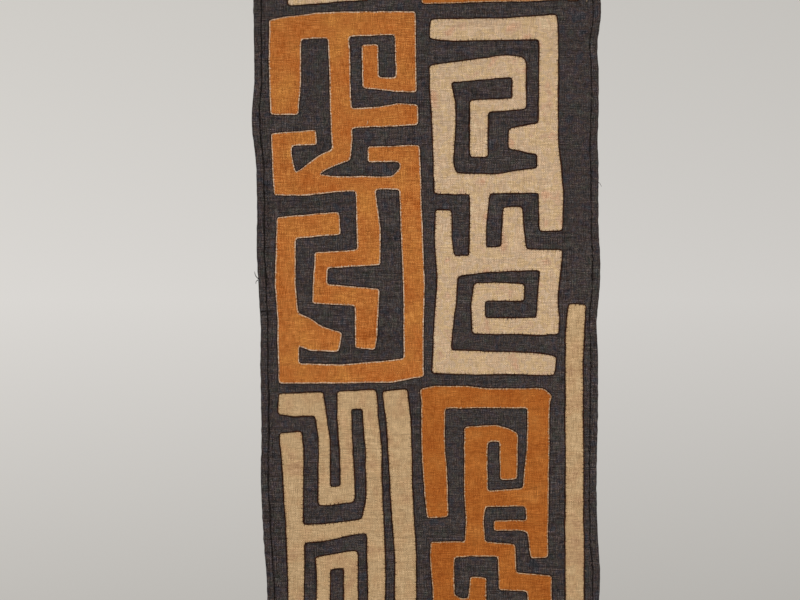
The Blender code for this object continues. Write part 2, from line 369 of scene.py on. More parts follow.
@dataclass(frozen=True)
class RaffiaFinish:
    """Plain-woven raffia, dyed or left natural: matte split-leaf strands of uneven width."""

    name: str
    patches: Stops
    strands: Stops
    strand_share: float
    contrast: float
    bar_contrast: float = 0.08
    speck_contrast: float = 0.12
    # Each size of grain starts this many grains away, so that two sizes don't line up.
    grain_start: Pair = (900, 700)
    grain_roughness: float = 0.6
    patch_size: float = 55 * MM
    bar_size: Pair = (150 * MM, 5 * MM)
    speck_size: float = 1.3 * MM
    # Threads are about 1 mm apart. They are drawn 2.1 mm apart, or the weave wouldn't show.
    thread_pitch: float = 2.1 * MM
    # Painted shade: the colour darkens by this share where a thread dips under another.
    crossing_shade: float = 0.1
    # Here the upright threads stand up more, there the level ones, in patches of this size; the colour
    # is darkened along the lower set, as painted shade.
    rib_shade: float = 0.05
    rib_patch: Pair = (70 * MM, 45 * MM)
    slub_size: Pair = (13 * MM, 1.05 * MM)
    wander: float = 3 * MM
    wander_size: float = 30 * MM
    # How clearly one thread passes over the other at a crossing, and where one set stands up more.
    over_range: Pair = (-0.3, 0.3)
    rib_range: Pair = (0.44, 0.56)
    weave_share: float = 0.3
    weave_depth: float = 0.25 * MM
    weave_strength: float = 0.7
    roughness: Pair = (0.95, 0.78)

    def grain(self, tree: Tree, place: Socket, size: Pair, detail: float) -> Socket:
        """Soft noise stretched across and up the cloth.

        Args:
            tree: the node tree.
            place: where on the cloth.
            size: the grain's size across and up.
            detail: how much finer grain it has.

        Returns:
            A grey pattern.
        """
        shift = (size[0] * self.grain_start[0], 0, size[1] * self.grain_start[1])
        moved = {"Scale": (1 / size[0], 1 / max(size), 1 / size[1]), "Location": shift}
        mapping = add_node(tree, "ShaderNodeMapping", moved, {"Vector": place})
        settings = {"Scale": 1.0, "Detail": detail, "Roughness": self.grain_roughness}
        links = {"Vector": mapping.outputs["Vector"]}
        return add_node(tree, "ShaderNodeTexNoise", settings, links).outputs["Fac"]

    def crossings(self, tree: Tree, place: Socket) -> tuple[Socket, Socket]:
        """Over-and-under height of a plain weave, and its faint ribs.

        Args:
            tree: the node tree.
            place: where on the cloth.

        Returns:
            Two patterns from -1 to 1.
        """
        split = add_node(tree, "ShaderNodeSeparateXYZ", links={"Vector": place})
        turns = math.pi / self.thread_pitch
        waves = [
            math_node(tree, "SINE", math_node(tree, "MULTIPLY", split.outputs[axis], turns))
            for axis in ("X", "Z")
        ]
        level = range_node(tree, self.grain(tree, place, self.rib_patch, 1.0), self.rib_range)
        return math_node(tree, "MULTIPLY", *waves), mix_node(tree, "FLOAT", level, *waves)

    def wandering(self, tree: Tree) -> Socket:
        """Push object coordinates about a little, so that the threads aren't ruler-straight.

        Args:
            tree: the node tree.

        Returns:
            The pushed coordinates.
        """
        place = add_node(tree, "ShaderNodeTexCoord").outputs["Object"]
        settings = {"Scale": 1 / self.wander_size, "Detail": 1.0}
        push = add_node(tree, "ShaderNodeTexNoise", settings, {"Vector": place})
        settings = {"operation": "MULTIPLY_ADD", 1: (self.wander,) * 3}
        links = {0: push.outputs["Color"], 2: place}
        return add_node(tree, "ShaderNodeVectorMath", settings, links).outputs["Vector"]

    def material(self) -> bpy.types.Material:
        """Build the cloth's material, with painted shade at the weave's crossings and ribs.

        Returns:
            The material, named for the cloth.
        """
        material, tree = new_material(self.name)
        place = self.wandering(tree)
        dye = self.grain(tree, place, (self.patch_size, self.patch_size), 4.0)
        upright = self.grain(tree, place, self.slub_size[::-1], 1.0)
        level = self.grain(tree, place, self.slub_size, 1.0)
        bars = self.grain(tree, place, self.bar_size, 2.0)
        specks = self.grain(tree, place, (self.speck_size, self.speck_size), 0.0)
        weave, ribs = self.crossings(tree, place)
        over = range_node(tree, weave, self.over_range)
        strand = mix_node(tree, "FLOAT", over, upright, level)
        patch_tone = ramp_node(tree, dye, self.patches)
        strand_tone = ramp_node(tree, range_node(tree, strand, MID_GREYS), self.strands)
        colour = mix_node(tree, "RGBA", self.strand_share, patch_tone, strand_tone)
        # Painted shade of the weave: crossings and ribs darken the colour where threads dip, besides
        # their bump; strands, bars and specks are the raffia's own tones.
        for factor in (
            math_node(tree, "MULTIPLY_ADD", weave, self.crossing_shade, 1.0),
            math_node(tree, "MULTIPLY_ADD", ribs, self.rib_shade, 1.0),
            around_one(tree, strand, self.contrast),
            around_one(tree, bars, self.bar_contrast),
            around_one(tree, specks, self.speck_contrast),
        ):
            colour = mix_node(tree, "RGBA", 1.0, colour, factor, "MULTIPLY")
        rough = range_node(tree, strand, given=self.roughness)
        height = math_node(tree, "MULTIPLY_ADD", weave, self.weave_share, strand)
        wire_fibre(tree, colour, rough, height, self.weave_strength, self.weave_depth)
        return material


@dataclass(frozen=True)
class ThreadFinish:
    """Twisted raffia sewing thread: a few split strands rolled together, dry and matte."""

    name: str
    tones: Stops
    # Strands are about 1 mm long in view. They are drawn longer, or the thread would look even.
    strand_size: float = 3.2 * MM
    strand_depth: float = 0.2 * MM
    strand_strength: float = 0.5
    roughness: Pair = (0.95, 0.75)

    def material(self) -> bpy.types.Material:
        """Build the thread's material.

        Returns:
            The material, named for the thread.
        """
        material, tree = new_material(self.name)
        place = add_node(tree, "ShaderNodeTexCoord").outputs["Object"]
        settings = {"Scale": 1 / self.strand_size, "Detail": 1.0}
        grain = add_node(tree, "ShaderNodeTexNoise", settings, {"Vector": place}).outputs["Fac"]
        tone = ramp_node(tree, range_node(tree, grain, MID_GREYS), self.tones)
        rough = range_node(tree, grain, given=self.roughness)
        wire_fibre(tree, tone, rough, grain, self.strand_strength, self.strand_depth)
        return material


# Mud-dyed ground: warm black with faint plum, slate, rust and olive patches, each strand its own grey.
DARK_FINISH = RaffiaFinish(
    name="mud_dyed_plain_woven_raffia",
    patches=(
        (0.35, "#272E38"),
        (0.42, "#3B3037"),
        (0.48, "#40332B"),
        (0.53, "#2D3138"),
        (0.58, "#3F3430"),
        (0.63, "#353831"),
        (0.69, "#30353B"),
    ),
    strands=((0.0, "#201C1C"), (0.5, "#3A3433"), (1.0, "#645C58")),
    strand_share=0.4,
    contrast=0.6,
    bar_contrast=0.24,
    speck_contrast=0.4,
    rib_shade=0.2,
    patch_size=20 * MM,
)
# Bark-dyed orange of the upper pieces, yellower and paler where it has worn.
ORANGE_FINISH = RaffiaFinish(
    name="bark_dyed_plain_woven_raffia",
    patches=((0.34, "#A65318"), (0.44, "#B0642A"), (0.54, "#B26C30"), (0.66, "#BE7C38")),
    strands=((0.0, "#84400F"), (0.5, "#B0682E"), (1.0, "#CC9656")),
    strand_share=0.4,
    contrast=0.36,
    patch_size=52 * MM,
)
# The lower orange piece took more dye.
DEEP_ORANGE_FINISH = RaffiaFinish(
    name="deep_bark_dyed_plain_woven_raffia",
    patches=((0.34, "#9C5018"), (0.46, "#A45A20"), (0.55, "#AA6226"), (0.68, "#B67234")),
    strands=((0.0, "#7E3A10"), (0.5, "#A45C22"), (1.0, "#C08444")),
    strand_share=0.35,
    contrast=0.3,
    patch_size=52 * MM,
)
# Undyed raffia, the colour of dry straw with rusty, pink, yellow and grey patches.
CREAM_FINISH = RaffiaFinish(
    name="natural_plain_woven_raffia",
    patches=(
        (0.33, "#C29070"),
        (0.41, "#C2A488"),
        (0.48, "#CAAA7A"),
        (0.54, "#BCA48C"),
        (0.60, "#C8A684"),
        (0.68, "#D2BA98"),
    ),
    strands=((0.0, "#9C7E60"), (0.5, "#C4A888"), (1.0, "#DCCAAE")),
    strand_share=0.4,
    contrast=0.24,
    crossing_shade=0.13,
    patch_size=30 * MM,
)
# The lower cream pieces are a shade browner.
TAN_FINISH = RaffiaFinish(
    name="weathered_plain_woven_raffia",
    patches=((0.34, "#AE8866"), (0.44, "#BC9A72"), (0.55, "#B89C76"), (0.68, "#CAAC84")),
    strands=((0.0, "#92704E"), (0.5, "#BA9A72"), (1.0, "#D6BC98")),
    strand_share=0.4,
    contrast=0.22,
    patch_size=34 * MM,
)
PALE_THREAD = ThreadFinish(
    name="natural_raffia_thread", tones=((0.0, "#8A5C3A"), (0.4, "#CCA888"), (1.0, "#EAD4BC"))
)
# The same thread where it took up the deep dye of the lower pieces.
RUSTY_THREAD = ThreadFinish(
    name="stained_raffia_thread", tones=((0.0, "#8E5C34"), (0.45, "#C29A74"), (1.0, "#E0C6A6"))
)
# Dark brown raffia thread. Just outside the orange pieces it also stands for the shade that their
# raised edges cast: painted shadow.
BROWN_THREAD_AND_SHADOW = ThreadFinish(
    name="brown_raffia_thread_and_painted_shadow", tones=((0.0, "#180A05"), (0.5, "#2C160B"), (1.0, "#502C1A"))
)
# Nearly black raffia thread. In each side hem's crease it also stands for the crease's shade: painted
# shade.
BLACK_THREAD_AND_SHADE = ThreadFinish(
    name="mud_dyed_raffia_thread_and_painted_shade", tones=((0.0, "#0C0908"), (0.5, "#181312"), (1.0, "#302926"))
)
STRAW_THREAD = ThreadFinish(
    name="straw_raffia_thread", tones=((0.0, "#B59673"), (0.5, "#CDB391"), (1.0, "#DEC9AC"))
)


@cache
def dressed(finish: RaffiaFinish | ThreadFinish) -> bpy.types.Material:
    """The material of a finish, made once and shared."""
    return finish.material()


def put(name: str, data: bpy.types.ID) -> bpy.types.Object:
    """Put new data in the scene as an object.

    Args:
        name: the object's name.
        data: its mesh, curve, lamp or camera.

    Returns:
        The new object.
    """
    item = bpy.data.objects.new(name, data)
    bpy.context.scene.collection.objects.link(item)
    return item


def place_piece(
    data: bpy.types.Mesh, finish: RaffiaFinish | ThreadFinish, cloth: Cloth
) -> bpy.types.Object:
    """Put a finished mesh in the scene, smooth and dressed, riding on the cloth's body.

    Args:
        data: its closed mesh, in the row frame, with the piece's name.
        finish: what it is made of.
        cloth: the record slot; not used.

    Returns:
        The new object.
    """
    data.materials.clear()
    data.materials.append(dressed(finish))
    data.shade_smooth()
    piece = put(data.name, data)
    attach(piece, BODY)
    LOG.info("%s: %d faces", piece.name, len(data.polygons))
    return piece


def mesh_from(source: WorkMesh, name: str) -> bpy.types.Mesh:
    """Turn a working mesh into mesh data and free it.

    Args:
        source: the working mesh.
        name: the data's name.

    Returns:
        The mesh data.
    """
    data = bpy.data.meshes.new(name)
    source.to_mesh(data)
    source.free()
    return data


def coordinates(mesh: WorkMesh) -> Floats:
    """All vertex places of a working mesh, one row each."""
    return np.array([tuple(v.co) for v in mesh.verts])


def move_points(verts: Iterable[bmesh.types.BMVert], places: Floats) -> None:
    """Set vertex places from rows of an array."""
    for vertex, place in zip(verts, places):
        vertex.co = place


def close_sheet(mesh: WorkMesh, back: Callable[[Floats, Floats], Floats]) -> None:
    """Close a shaped front face with a back face and a rim.

    Args:
        mesh: the open front of the sheet.
        back: gives the back's place, front to back, at x and z.
    """
    extruded = bmesh.ops.extrude_face_region(mesh, geom=mesh.faces[:])["geom"]
    rear = [item for item in extruded if isinstance(item, bmesh.types.BMVert)]
    places = np.array([tuple(v.co) for v in rear])
    places[:, 1] = back(places[:, 0], places[:, 2])
    move_points(rear, places)
    bmesh.ops.recalc_face_normals(mesh, faces=mesh.faces[:])


def tube_mesh(
    name: str, lines: Sequence[Floats], radii: Sequence[Floats], closed: bool = False
) -> bpy.types.Mesh:
    """Sweep thin four-sided threads along lines and join them in one mesh.

    Args:
        name: the mesh's name.
        lines: rows of points for each thread.
        radii: the thread's radius at each point.
        closed: whether each thread runs round in a loop.

    Returns:
        The joined mesh.
    """
    curve = bpy.data.curves.new(name, "CURVE")
    curve.dimensions = "3D"
    curve.bevel_depth = 1.0
    curve.bevel_resolution = 0
    curve.use_fill_caps = not closed
    for line, radius in zip(lines, radii):
        spline = curve.splines.new("POLY")
        spline.points.add(len(line) - 1)
        spline.points.foreach_set("co", np.column_stack([line, np.ones(len(line))]).ravel())
        spline.points.foreach_set("radius", radius)
        spline.use_cyclic_u = closed
    holder = put(name, curve)
    graph = bpy.context.evaluated_depsgraph_get()
    data = bpy.data.meshes.new_from_object(holder.evaluated_get(graph))
    bpy.data.objects.remove(holder)
    bpy.data.curves.remove(curve)
    data.name = name
    return data


@dataclass(frozen=True)
class Stitch:
    """One short stitch: a thin arched bar that dips into the cloth at both ends."""

    length: float = 5.5 * MM
    radius: float = 0.42 * MM
    arch: float = 0.5 * MM
    # Share of the arch by which the ends lie deeper than the stitch's place.
    dip: float = 0.35
    sides: int = 4

    def template(self) -> tuple[Floats, Floats]:
        """Model one stitch of unit size.

        Returns:
            Its points as along, across and out, and its triangles.
        """
        bar = bmesh.new()
        bmesh.ops.create_cone(
            bar, cap_ends=True, segments=self.sides, radius1=1.0, radius2=1.0, depth=1.0
        )
        for cut in (-0.25, 0.25):
            geom = bar.verts[:] + bar.edges[:] + bar.faces[:]
            bmesh.ops.bisect_plane(bar, geom=geom, plane_co=(0, 0, cut), plane_no=(0, 0, 1))
        bmesh.ops.triangulate(bar, faces=bar.faces[:])
        points = coordinates(bar)
        faces = np.array([[v.index for v in face.verts] for face in bar.faces])
        bar.free()
        return points, faces

    def run(self, name: str, centres: Floats, heading: Floats, sizes: Floats) -> bpy.types.Mesh:
        """Lay a whole run of stitches as one mesh.

        Args:
            name: the mesh's name.
            centres: the middle of each stitch on the cloth.
            heading: each stitch's unit direction, as x and z.
            sizes: each stitch's size beside the usual one.

        Returns:
            The joined mesh.
        """
        points, faces = self.template()
        flat = np.zeros(len(heading))
        along = np.column_stack([heading[:, 0], flat, heading[:, 1]])
        across = np.column_stack([heading[:, 1], flat, -heading[:, 0]])
        reach = points[:, 2][None, :, None] * self.length * sizes[:, None, None]
        beside = points[:, 0][None, :, None] * self.radius * sizes[:, None, None]
        swell = 1 - (2 * points[:, 2]) ** 2
        out = points[:, 1] * self.radius + (swell - self.dip) * self.arch
        front = np.array([0.0, -1.0, 0.0])
        places = centres[:, None, :] + reach * along[:, None, :] + beside * across[:, None, :]
        places = places + out[None, :, None] * front
        joined = faces[None, :, :] + (np.arange(len(centres)) * len(points))[:, None, None]
        data = bpy.data.meshes.new(name)
        data.from_pydata(places.reshape(-1, 3).tolist(), [], joined.reshape(-1, 3).tolist())
        mesh = bmesh.new()
        mesh.from_mesh(data)
        bmesh.ops.recalc_face_normals(mesh, faces=mesh.faces[:])
        mesh.to_mesh(data)
        mesh.free()
        return data


@dataclass
class GroundCloth:
    """The dark cloth with its four folded hems."""

    hang: Hang = HANG
    pitch: float = 4.9 * MM
    hem_width: float = 13 * MM
    # Distance in from an edge, and how far the front and the back stand off the middle, in mm.
    profile: tuple[tuple[float, float, float], ...] = (
        (0.0, 0.10, 0.10),
        (0.5, 0.95, 0.45),
        (1.4, 1.45, 0.60),
        (3.5, 1.60, 0.60),
        (6.5, 1.45, 0.60),
        (9.5, 1.50, 0.60),
        (11.6, 1.35, 0.60),
        (12.5, 0.85, 0.60),
        (13.3, 0.05, 0.60),
        (14.4, 0.40, 0.60),
        (16.5, 0.60, 0.60),
        (20.0, 0.60, 0.60),
    )
    pucker_height: float = 0.28 * MM
    pucker_length: float = 17 * MM
    pucker_slant: float = 0.7
    # How far the puckers drift, and over how many of them.
    pucker_drift: Pair = (3, 7)
    nick_height: float = 0.9 * MM
    nick_length: float = 13 * MM
    # The crease lies just past the hem, and its thread and stitches stand off the cloth's middle. The
    # crease thread is partly sewing thread, partly painted shade of the crease.
    crease_gap: float = 0.4 * MM
    crease_wander: float = 1.3 * MM
    wander_lengths: Pair = (37 * MM, 11 * MM)
    crease_out: float = 0.55 * MM
    crease_radius: Pair = (1.25 * MM, 0.8 * MM)
    crease_step: float = 3 * MM
    crease_swell: float = 0.5
    crease_swell_lengths: Pair = (9 * MM, 41 * MM)
    hem_stitch: Stitch = Stitch(length=8.5 * MM, radius=0.95 * MM, arch=0.6 * MM)
    hem_stitch_out: float = 0.75 * MM
    hem_stitch_slant: Pair = (62, 96)
    hem_stitch_pitch: Pair = (7.5 * MM, 13 * MM)
    hem_stitch_drift: float = 0.2
    hem_stitch_sizes: Pair = (0.45, 1.3)
    hem_stitch_ends: Pair = (8 * MM, 6 * MM)
    # Creases and whipping stop this far from the top edge and the foot.
    thread_end: float = 3 * MM
    # Cloth turned over at each edge.
    turning: float = 15 * MM
    basting_stitch: Stitch = Stitch(length=4.5 * MM, radius=0.45 * MM, arch=0.4 * MM)
    basting_pitch: float = 8 * MM
    basting_drift: float = 0.3
    basting_wander: float = 1.5 * MM
    basting_lean: float = 0.2
    basting_sizes: Pair = (0.4, 1.4)
    basting_inward: float = 7 * MM
    basting_out: float = 0.1 * MM
    basting_end: float = 20 * MM
    whipping_radius: float = 0.45 * MM
    whipping_pitch: float = 7.5 * MM
    whipping_step: float = 1.5 * MM
    # How far in from the edge the whipping winds, how far it sways, and how far it stands off.
    whipping_inset: float = 1.1 * MM
    whipping_sway: Pair = (0.75 * MM, 1.0 * MM)
    whipping_out: float = 0.5 * MM
    pieces: list[bpy.types.Object] = field(default_factory=list)

    def spread(self, start: float, end: float) -> Floats:
        """Places from one hem's edge to the other's, close together over the hems.

        Args:
            start: the first edge.
            end: the second edge, greater than the first.

        Returns:
            The places in order.
        """
        near = np.array([row[0] for row in self.profile]) * MM
        low, high = start + near, end - near[::-1]
        count = round((high[0] - low[-1]) / self.pitch)
        return np.concatenate([low, np.linspace(low[-1], high[0], count + 1)[1:-1], high])

    def nicks(self, side: Side, z: Floats) -> Floats:
        """Small bumps of a side edge, where each hem stitch draws it in."""
        spots = [Vector((side.value * 5.0, 0.0, height / self.nick_length)) for height in z]
        return self.nick_height * np.array([noise.noise(spot) for spot in spots])

    def build(self) -> None:
        """Build the hemmed ground cloth."""
        hang = self.hang
        rows = self.spread(-hang.length, 0.0)
        left = hang.edge(Side.LEFT, rows) + self.nicks(Side.LEFT, rows)
        right = hang.edge(Side.RIGHT, rows) + self.nicks(Side.RIGHT, rows)
        usual = self.spread(hang.left, hang.right)
        reach = self.profile[-1][0] * MM
        share = np.clip((usual - usual[0] - reach) / (usual[-1] - usual[0] - 2 * reach), 0, 1)
        mesh = bmesh.new()
        across, up = len(usual) - 1, len(rows) - 1
        bmesh.ops.create_grid(mesh, x_segments=across, y_segments=up, size=0.5)
        unit = coordinates(mesh)
        column = np.rint((unit[:, 0] + 0.5) * across).astype(int)
        row = np.rint((unit[:, 1] + 0.5) * up).astype(int)
        z = rows[row]
        moved_left = left[row] - usual[0]
        moved_right = right[row] - usual[-1]
        x = usual[column] + moved_left * (1 - share[column]) + moved_right * share[column]
        inward = np.minimum.reduce([x - left[row], right[row] - x, z + hang.length, -z])
        places = np.column_stack([x, self.surface(x, z, inward, front=True), z])
        move_points(mesh.verts, places)
        depth = {(round(a, 7), round(c, 7)): d for a, c, d in zip(x, z, inward)}
        close_sheet(mesh, lambda a, c: self.back(a, c, depth))
        data = mesh_from(mesh, "ground_raffia_sheet")
        piece = place_piece(data, DARK_FINISH, Cloth.DARK)
        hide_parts(GROUND_NODE)
        self.pieces.append(piece)

    def back(self, x: Floats, z: Floats, depth: dict[Pair, float]) -> Floats:
        """Place of the cloth's back.

        Args:
            x: places across.
            z: heights.
            depth: how far in from the edge each point is.

        Returns:
            The back's places, front to back.
        """
        nearest = self.inward_guess(x, z)
        inward = np.array(
            [depth.get((round(a, 7), round(c, 7)), g) for a, c, g in zip(x, z, nearest)]
        )
        return self.surface(x, z, inward, front=False)

    def inward_guess(self, x: Floats, z: Floats) -> Floats:
        """Distance in from the nearest smooth edge."""
        left, right = (self.hang.edge(side, z) for side in Side)
        return np.minimum.reduce([x - left, right - x, z + self.hang.length, -z])

    def surface(self, x: Floats, z: Floats, inward: Floats, front: bool) -> Floats:
        """Place of the front or back, with the hem's thickness and puckers.

        Args:
            x: places across.
            z: heights.
            inward: distance in from the nearest edge.
            front: the front if true, otherwise the back.

        Returns:
            Places front to back.
        """
        rows = np.array(self.profile) * MM
        stand = np.interp(inward, rows[:, 0], rows[:, 1 if front else 2])
        if not front:
            return self.hang.middle(x, z) + stand
        in_hem = np.clip(1 - np.abs(inward - self.hem_width / 2) / (self.hem_width / 2), 0, 1)
        turns = math.tau * (z + self.pucker_slant * x) / self.pucker_length
        far, slow = self.pucker_drift
        pucker = self.pucker_height * np.sin(turns + far * np.sin(turns / slow)) * in_hem
        return self.hang.middle(x, z) - stand - pucker

    def crease(self, side: Side, z: Floats) -> Floats:
        """Uneven place across where a side hem ends."""
        x = self.hang.edge(side, z) - side.value * (self.hem_width + self.crease_gap)
        return x + self.crease_wander * self.wander(side, z)

    def wander(self, side: Side, z: Floats) -> Floats:
        """Uneven sideways wander of a hem's crease, from -1 to 1."""
        slow, quick = (z / length for length in self.wander_lengths)
        return 0.6 * np.sin(slow + 2.0 * side.value) + 0.4 * np.sin(quick + side.value)

    def lay(self, data: bpy.types.Mesh) -> None:
        """Put a dark thread or run of stitches on the cloth."""
        self.pieces.append(place_piece(data, BLACK_THREAD_AND_SHADE, Cloth.DARK))

    def sew_hems(self) -> None:
        """Sew the side hems down with slanting dark stitches along their inner crease."""
        draw = np.random.default_rng(5)
        foot, top = self.hem_stitch_ends
        for side, pitch in zip(Side, self.hem_stitch_pitch):
            z = np.arange(-self.hang.length + foot, -top, pitch)
            z = z + draw.uniform(-self.hem_stitch_drift, self.hem_stitch_drift, len(z)) * pitch
            x = self.crease(side, z)
            centres = np.column_stack([x, self.hang.middle(x, z) - self.hem_stitch_out, z])
            slant = np.radians(draw.uniform(*self.hem_stitch_slant, len(z)))
            heading = np.column_stack([np.cos(slant) * -side.value, np.sin(slant)])
            sizes = draw.uniform(*self.hem_stitch_sizes, len(z))
            name = f"{side.name.lower()}_hem_stitches"
            self.lay(self.hem_stitch.run(name, centres, heading, sizes))

    def lay_crease_threads_and_shade(self) -> None:
        """Lay a dark thread in the crease where each side hem ends: partly sewing thread, partly
        painted shade of the crease.
        """
        short, long = self.crease_swell_lengths
        for side, usual in zip(Side, self.crease_radius):
            z = np.arange(-self.hang.length + self.thread_end, -self.thread_end, self.crease_step)
            x = self.crease(side, z)
            line = np.column_stack([x, self.hang.middle(x, z) - self.crease_out, z])
            radius = usual * (1 + self.crease_swell * np.sin(z / short) * np.sin(z / long))
            name = f"{side.name.lower()}_hem_thread_and_crease_shade"
            # Painted shade: the thread darkens the crease, besides standing for the thread sewn in it.
            self.lay(tube_mesh(name, [line], [radius]))

    def baste(self) -> None:
        """Sew the row of small dark running stitches that shows inside the left hem."""
        draw = np.random.default_rng(9)
        z = np.arange(-self.hang.length + self.basting_end, -self.basting_end, self.basting_pitch)
        drift = draw.uniform(-self.basting_drift, self.basting_drift, len(z))
        z = z + drift * self.basting_pitch
        offset = self.hem_width + self.basting_inward
        x = self.hang.edge(Side.LEFT, z) + offset
        x = x + self.basting_wander * self.wander(Side.RIGHT, z)
        lean = draw.uniform(-self.basting_lean, self.basting_lean, len(z))
        heading = np.column_stack([np.sin(lean), np.cos(lean)])
        centres = self.hang.before(x, z, self.basting_out)
        sizes = draw.uniform(*self.basting_sizes, len(z))
        self.lay(self.basting_stitch.run("left_basting_stitches", centres, heading, sizes))

    def whip_edges(self) -> None:
        """Lay the rolled outer edge's whipping, a thread wound along each side."""
        across, out = self.whipping_sway
        for side in Side:
            z = np.arange(-self.hang.length + self.thread_end, -self.thread_end, self.whipping_step)
            twist = math.tau * z / self.whipping_pitch + 2 * np.sin(z / (31 * MM))
            x = self.hang.edge(side, z) + self.nicks(side, z) - side.value * self.whipping_inset
            x = x + side.value * across * np.cos(twist)
            y = self.hang.middle(x, z) - self.whipping_out + out * np.sin(twist)
            name = f"{side.name.lower()}_edge_whipping"
            radius = np.full(len(z), self.whipping_radius)
            self.lay(tube_mesh(name, [np.column_stack([x, y, z])], [radius]))


@dataclass
class SewnPiece:
    """One cut-out raffia piece, turned under at its edge and sewn down."""

    node: str
    cloth: Cloth
    finish: RaffiaFinish
    seed: int
    hang: Hang = HANG
    step: float = 3.0 * MM
    lattice: float = 6.5 * MM
    smoothing: int = 2
    wobble: tuple[Pair, ...] = ((1.1 * MM, 60 * MM), (0.8 * MM, 13 * MM))
    rings: tuple[float, ...] = (0.7 * MM, 1.5 * MM)
    # Distance in from the cut edge, and height over the ground cloth, in mm.
    profile: tuple[Pair, ...] = (
        (0.0, 0.35),
        (0.7, 0.90),
        (2.2, 1.12),
        (5.5, 1.08),
        (8.5, 0.95),
        (16.0, 1.00),
    )
    back_gap: float = 0.06 * MM
    puff_height: float = 0.22 * MM
    puff_length: float = 24 * MM
    puff_edge: float = 6 * MM
    edge_pitch: float = 1.2 * MM
    cord_pitch: float = 2.0 * MM
    # By what share, and over what length, a thread's thickness changes slowly and quickly.
    cord_swells: tuple[Pair, Pair] = ((0.16, 23 * MM), (0.1, 7 * MM))
    bead_length: float = 5.0 * MM
    whip_out: float = 1.3 * MM
    whip_tilt: float = 24
    whip_sizes: Pair = (0.3, 1.15)
    loops: list[Loop] = field(default_factory=list)
    pieces: list[bpy.types.Object] = field(default_factory=list)

    def flat_outline(self) -> WorkMesh:
        """Lay the solid's front flat and keep its cut edge alone.

        Returns:
            The outline as closed loops of edges.
        """
        mesh = bmesh.new()
        mesh.from_mesh(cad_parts[self.node].data)
        bmesh.ops.remove_doubles(mesh, verts=mesh.verts[:], dist=SAME_POINT)
        mesh.normal_update()
        other = [face for face in mesh.faces if face.normal.y > -0.5]
        bmesh.ops.delete(mesh, geom=other, context="FACES")
        for vertex in mesh.verts:
            vertex.co.y = 0
        inner = [edge for edge in mesh.edges if not edge.is_boundary]
        bmesh.ops.delete(mesh, geom=mesh.faces[:], context="FACES_ONLY")
        bmesh.ops.delete(mesh, geom=inner, context="EDGES")
        loose = [vertex for vertex in mesh.verts if not vertex.link_edges]
        bmesh.ops.delete(mesh, geom=loose, context="VERTS")
        straight = math.radians(0.5)
        bmesh.ops.dissolve_limit(mesh, angle_limit=straight, verts=mesh.verts[:], edges=[])
        return mesh

    def soften(self, mesh: WorkMesh) -> None:
        """Divide the cut edge finely, round its corners and give it a hand-cut waver.

        Args:
            mesh: the outline, changed in place.
        """
        groups: dict[int, list[bmesh.types.BMEdge]] = {}
        for edge in mesh.edges:
            groups.setdefault(max(round(edge.calc_length() / self.step) - 1, 0), []).append(edge)
        for cuts, edges in groups.items():
            if cuts:
                bmesh.ops.subdivide_edges(mesh, edges=edges, cuts=cuts)
        for _ in range(self.smoothing):
            bmesh.ops.smooth_vert(
                mesh, verts=mesh.verts[:], factor=0.5, use_axis_x=True, use_axis_z=True
            )
        noise.seed_set(self.seed)
        for vertex in mesh.verts:
            for height, size in self.wobble:
                sample = Vector((vertex.co.x / size, self.seed * 3.7, vertex.co.z / size))
                drift = noise.noise_vector(sample) * height
                vertex.co.x += drift.x
                vertex.co.z += drift.z

    def trace(self, mesh: WorkMesh) -> list[Loop]:
        """Follow the cut edge round, cloth always on its left.

        Args:
            mesh: the outline.

        Returns:
            Each loop's points as x and z, the outer loop first.
        """
        unseen = set(mesh.verts)
        loops = []
        while unseen:
            start = min(unseen, key=lambda v: v.index)
            walk, before, here = [], None, start
            while here is not None:
                walk.append((here.co.x, here.co.z))
                unseen.discard(here)
                steps = [edge.other_vert(here) for edge in here.link_edges]
                onward = [v for v in steps if v is not before and v in unseen]
                before, here = here, onward[0] if onward else None
            loops.append(np.array(walk))
        areas = [self.signed_area(loop) for loop in loops]
        outer = int(np.argmax(np.abs(areas)))
        turned = [
            loop if (area > 0) == (index == outer) else loop[::-1]
            for index, (loop, area) in enumerate(zip(loops, areas))
        ]
        return [turned[outer], *(loop for index, loop in enumerate(turned) if index != outer)]

    @staticmethod
    def signed_area(loop: Loop) -> float:
        """Area inside a loop, positive if it runs counter-clockwise."""
        after = np.roll(loop, -1, axis=0)
        return float(np.sum(loop[:, 0] * after[:, 1] - after[:, 0] * loop[:, 1]) / 2)

    def cut_cloth(self, mesh: WorkMesh) -> None:
        """Fill the outline, ring its edge and divide the inside so that it can follow the folds.

        Args:
            mesh: the outline, changed in place.
        """
        bmesh.ops.triangle_fill(mesh, edges=mesh.edges[:], use_beauty=True, normal=(0, -1, 0))
        inner = [edge for edge in mesh.edges if not edge.is_boundary]
        bmesh.ops.dissolve_limit(mesh, angle_limit=math.radians(1), verts=[], edges=inner)
        for width in self.rings:
            core = [face for face in mesh.faces if face.material_index == 0]
            ring = bmesh.ops.inset_region(
                mesh, faces=core, thickness=width, use_even_offset=True, use_boundary=True
            )["faces"]
            for face in ring:
                face.material_index = 1
        for axis in (0, 2):
            normal = Vector((0, 0, 0))
            normal[axis] = 1
            reach = [vertex.co[axis] for vertex in mesh.verts]
            first = math.ceil(min(reach) / self.lattice)
            for number in range(first, math.floor(max(reach) / self.lattice) + 1):
                core = [face for face in mesh.faces if face.material_index == 0]
                edges = dict.fromkeys(edge for face in core for edge in face.edges)
                verts = dict.fromkeys(vertex for face in core for vertex in face.verts)
                bmesh.ops.bisect_plane(
                    mesh,
                    geom=[*verts, *edges, *core],
                    dist=SAME_POINT,
                    plane_co=normal * (number * self.lattice),
                    plane_no=normal,
                )
        bmesh.ops.triangulate(mesh, faces=mesh.faces[:])

